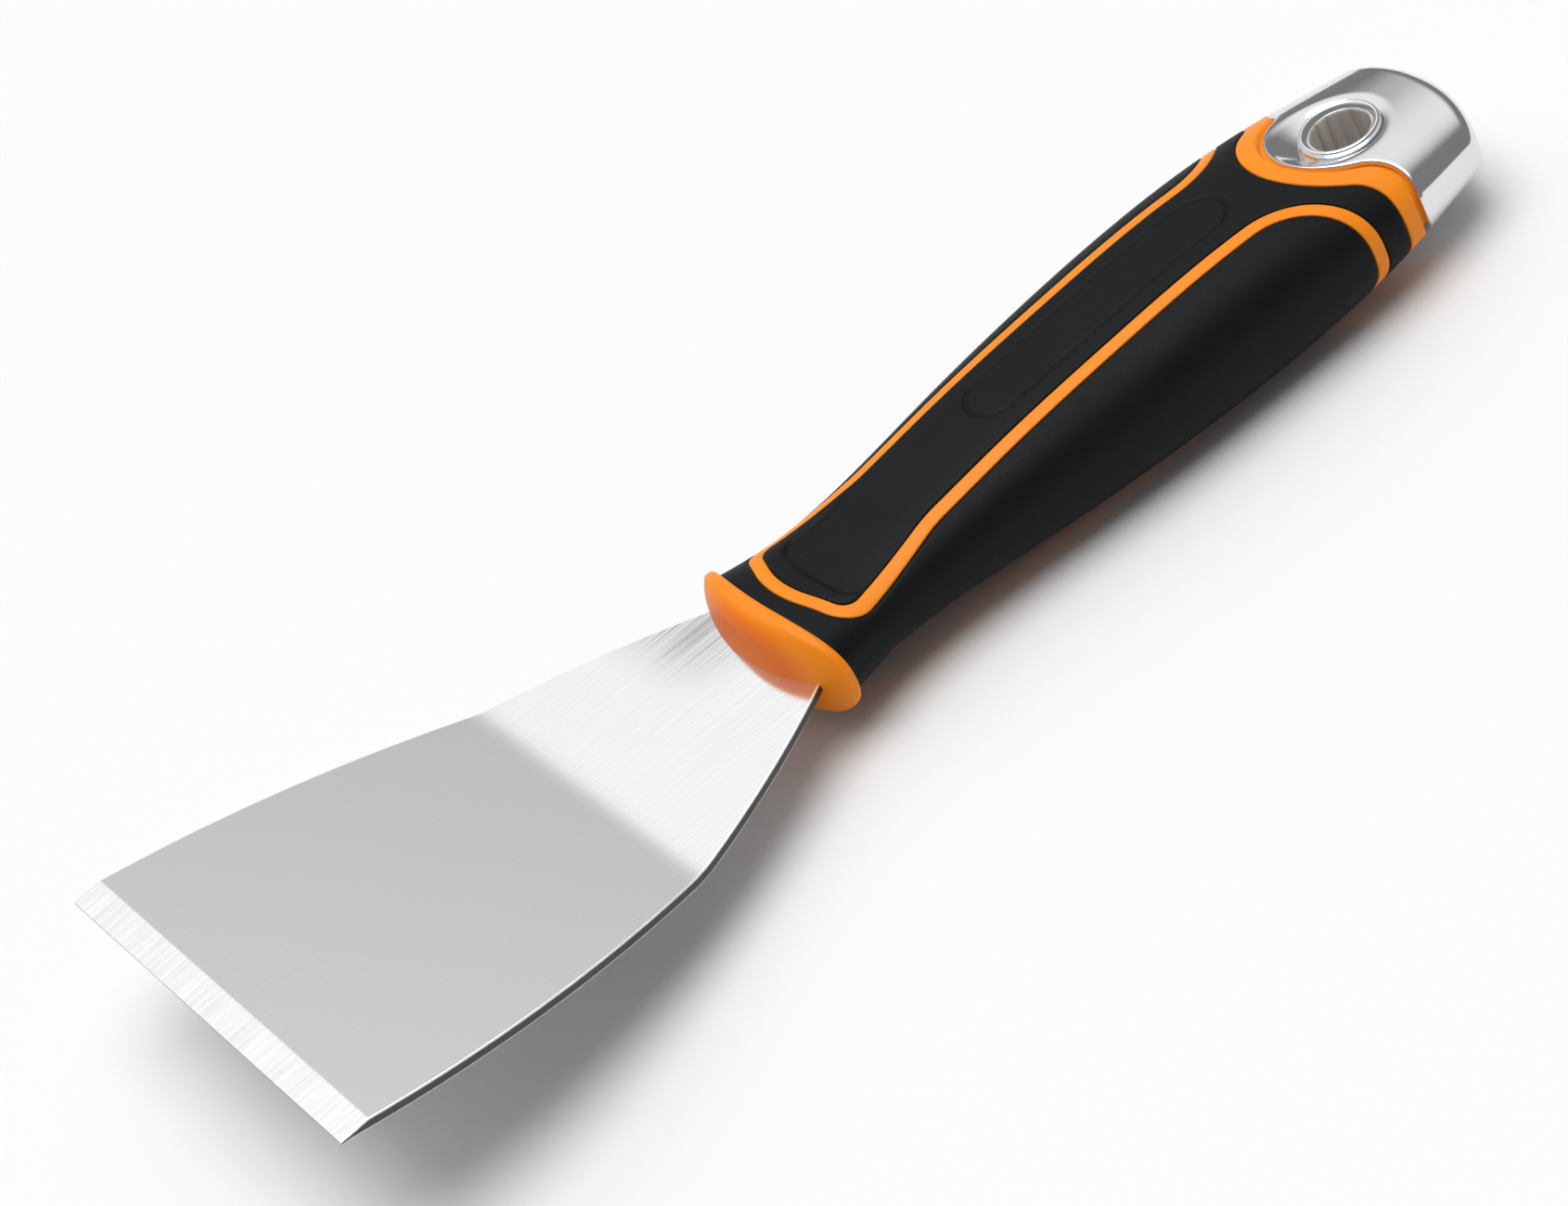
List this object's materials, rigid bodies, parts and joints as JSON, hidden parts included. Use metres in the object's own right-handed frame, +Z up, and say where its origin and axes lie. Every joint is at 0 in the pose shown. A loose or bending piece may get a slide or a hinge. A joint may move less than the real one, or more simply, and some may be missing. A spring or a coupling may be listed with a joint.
{
  "type": "flexible putty knife",
  "caption": "Flexible putty knife: wide bevelled steel blade with a gentle bend, soft-grip handle with a rounded nose collar, and a metal end cap with a hang hole.",
  "frame": {"origin": "centre of the hang hole, on the mid-plane of the tang", "axes": "+X along the handle towards the working edge, +Y across the handle, +Z up through the hang hole on the bevelled side"},
  "size_m": [0.2208, 0.0762, 0.0241],
  "materials": {
    "blade_steel": "satin stamped stainless plate",
    "core_plastic": "smooth moulded orange",
    "grip_rubber": "matte soft-touch black",
    "cap_chrome": "bright plated casting",
    "sleeve_metal": "bright rim, duller bore"
  },
  "bodies": {
    "root": {"blade": "blade_steel", "handle_core": "core_plastic", "grip_front_sides": "grip_rubber", "grip_top_rear": "grip_rubber", "end_cap": "cap_chrome", "hang_hole_sleeve": "sleeve_metal"}
  },
  "joints": []
}
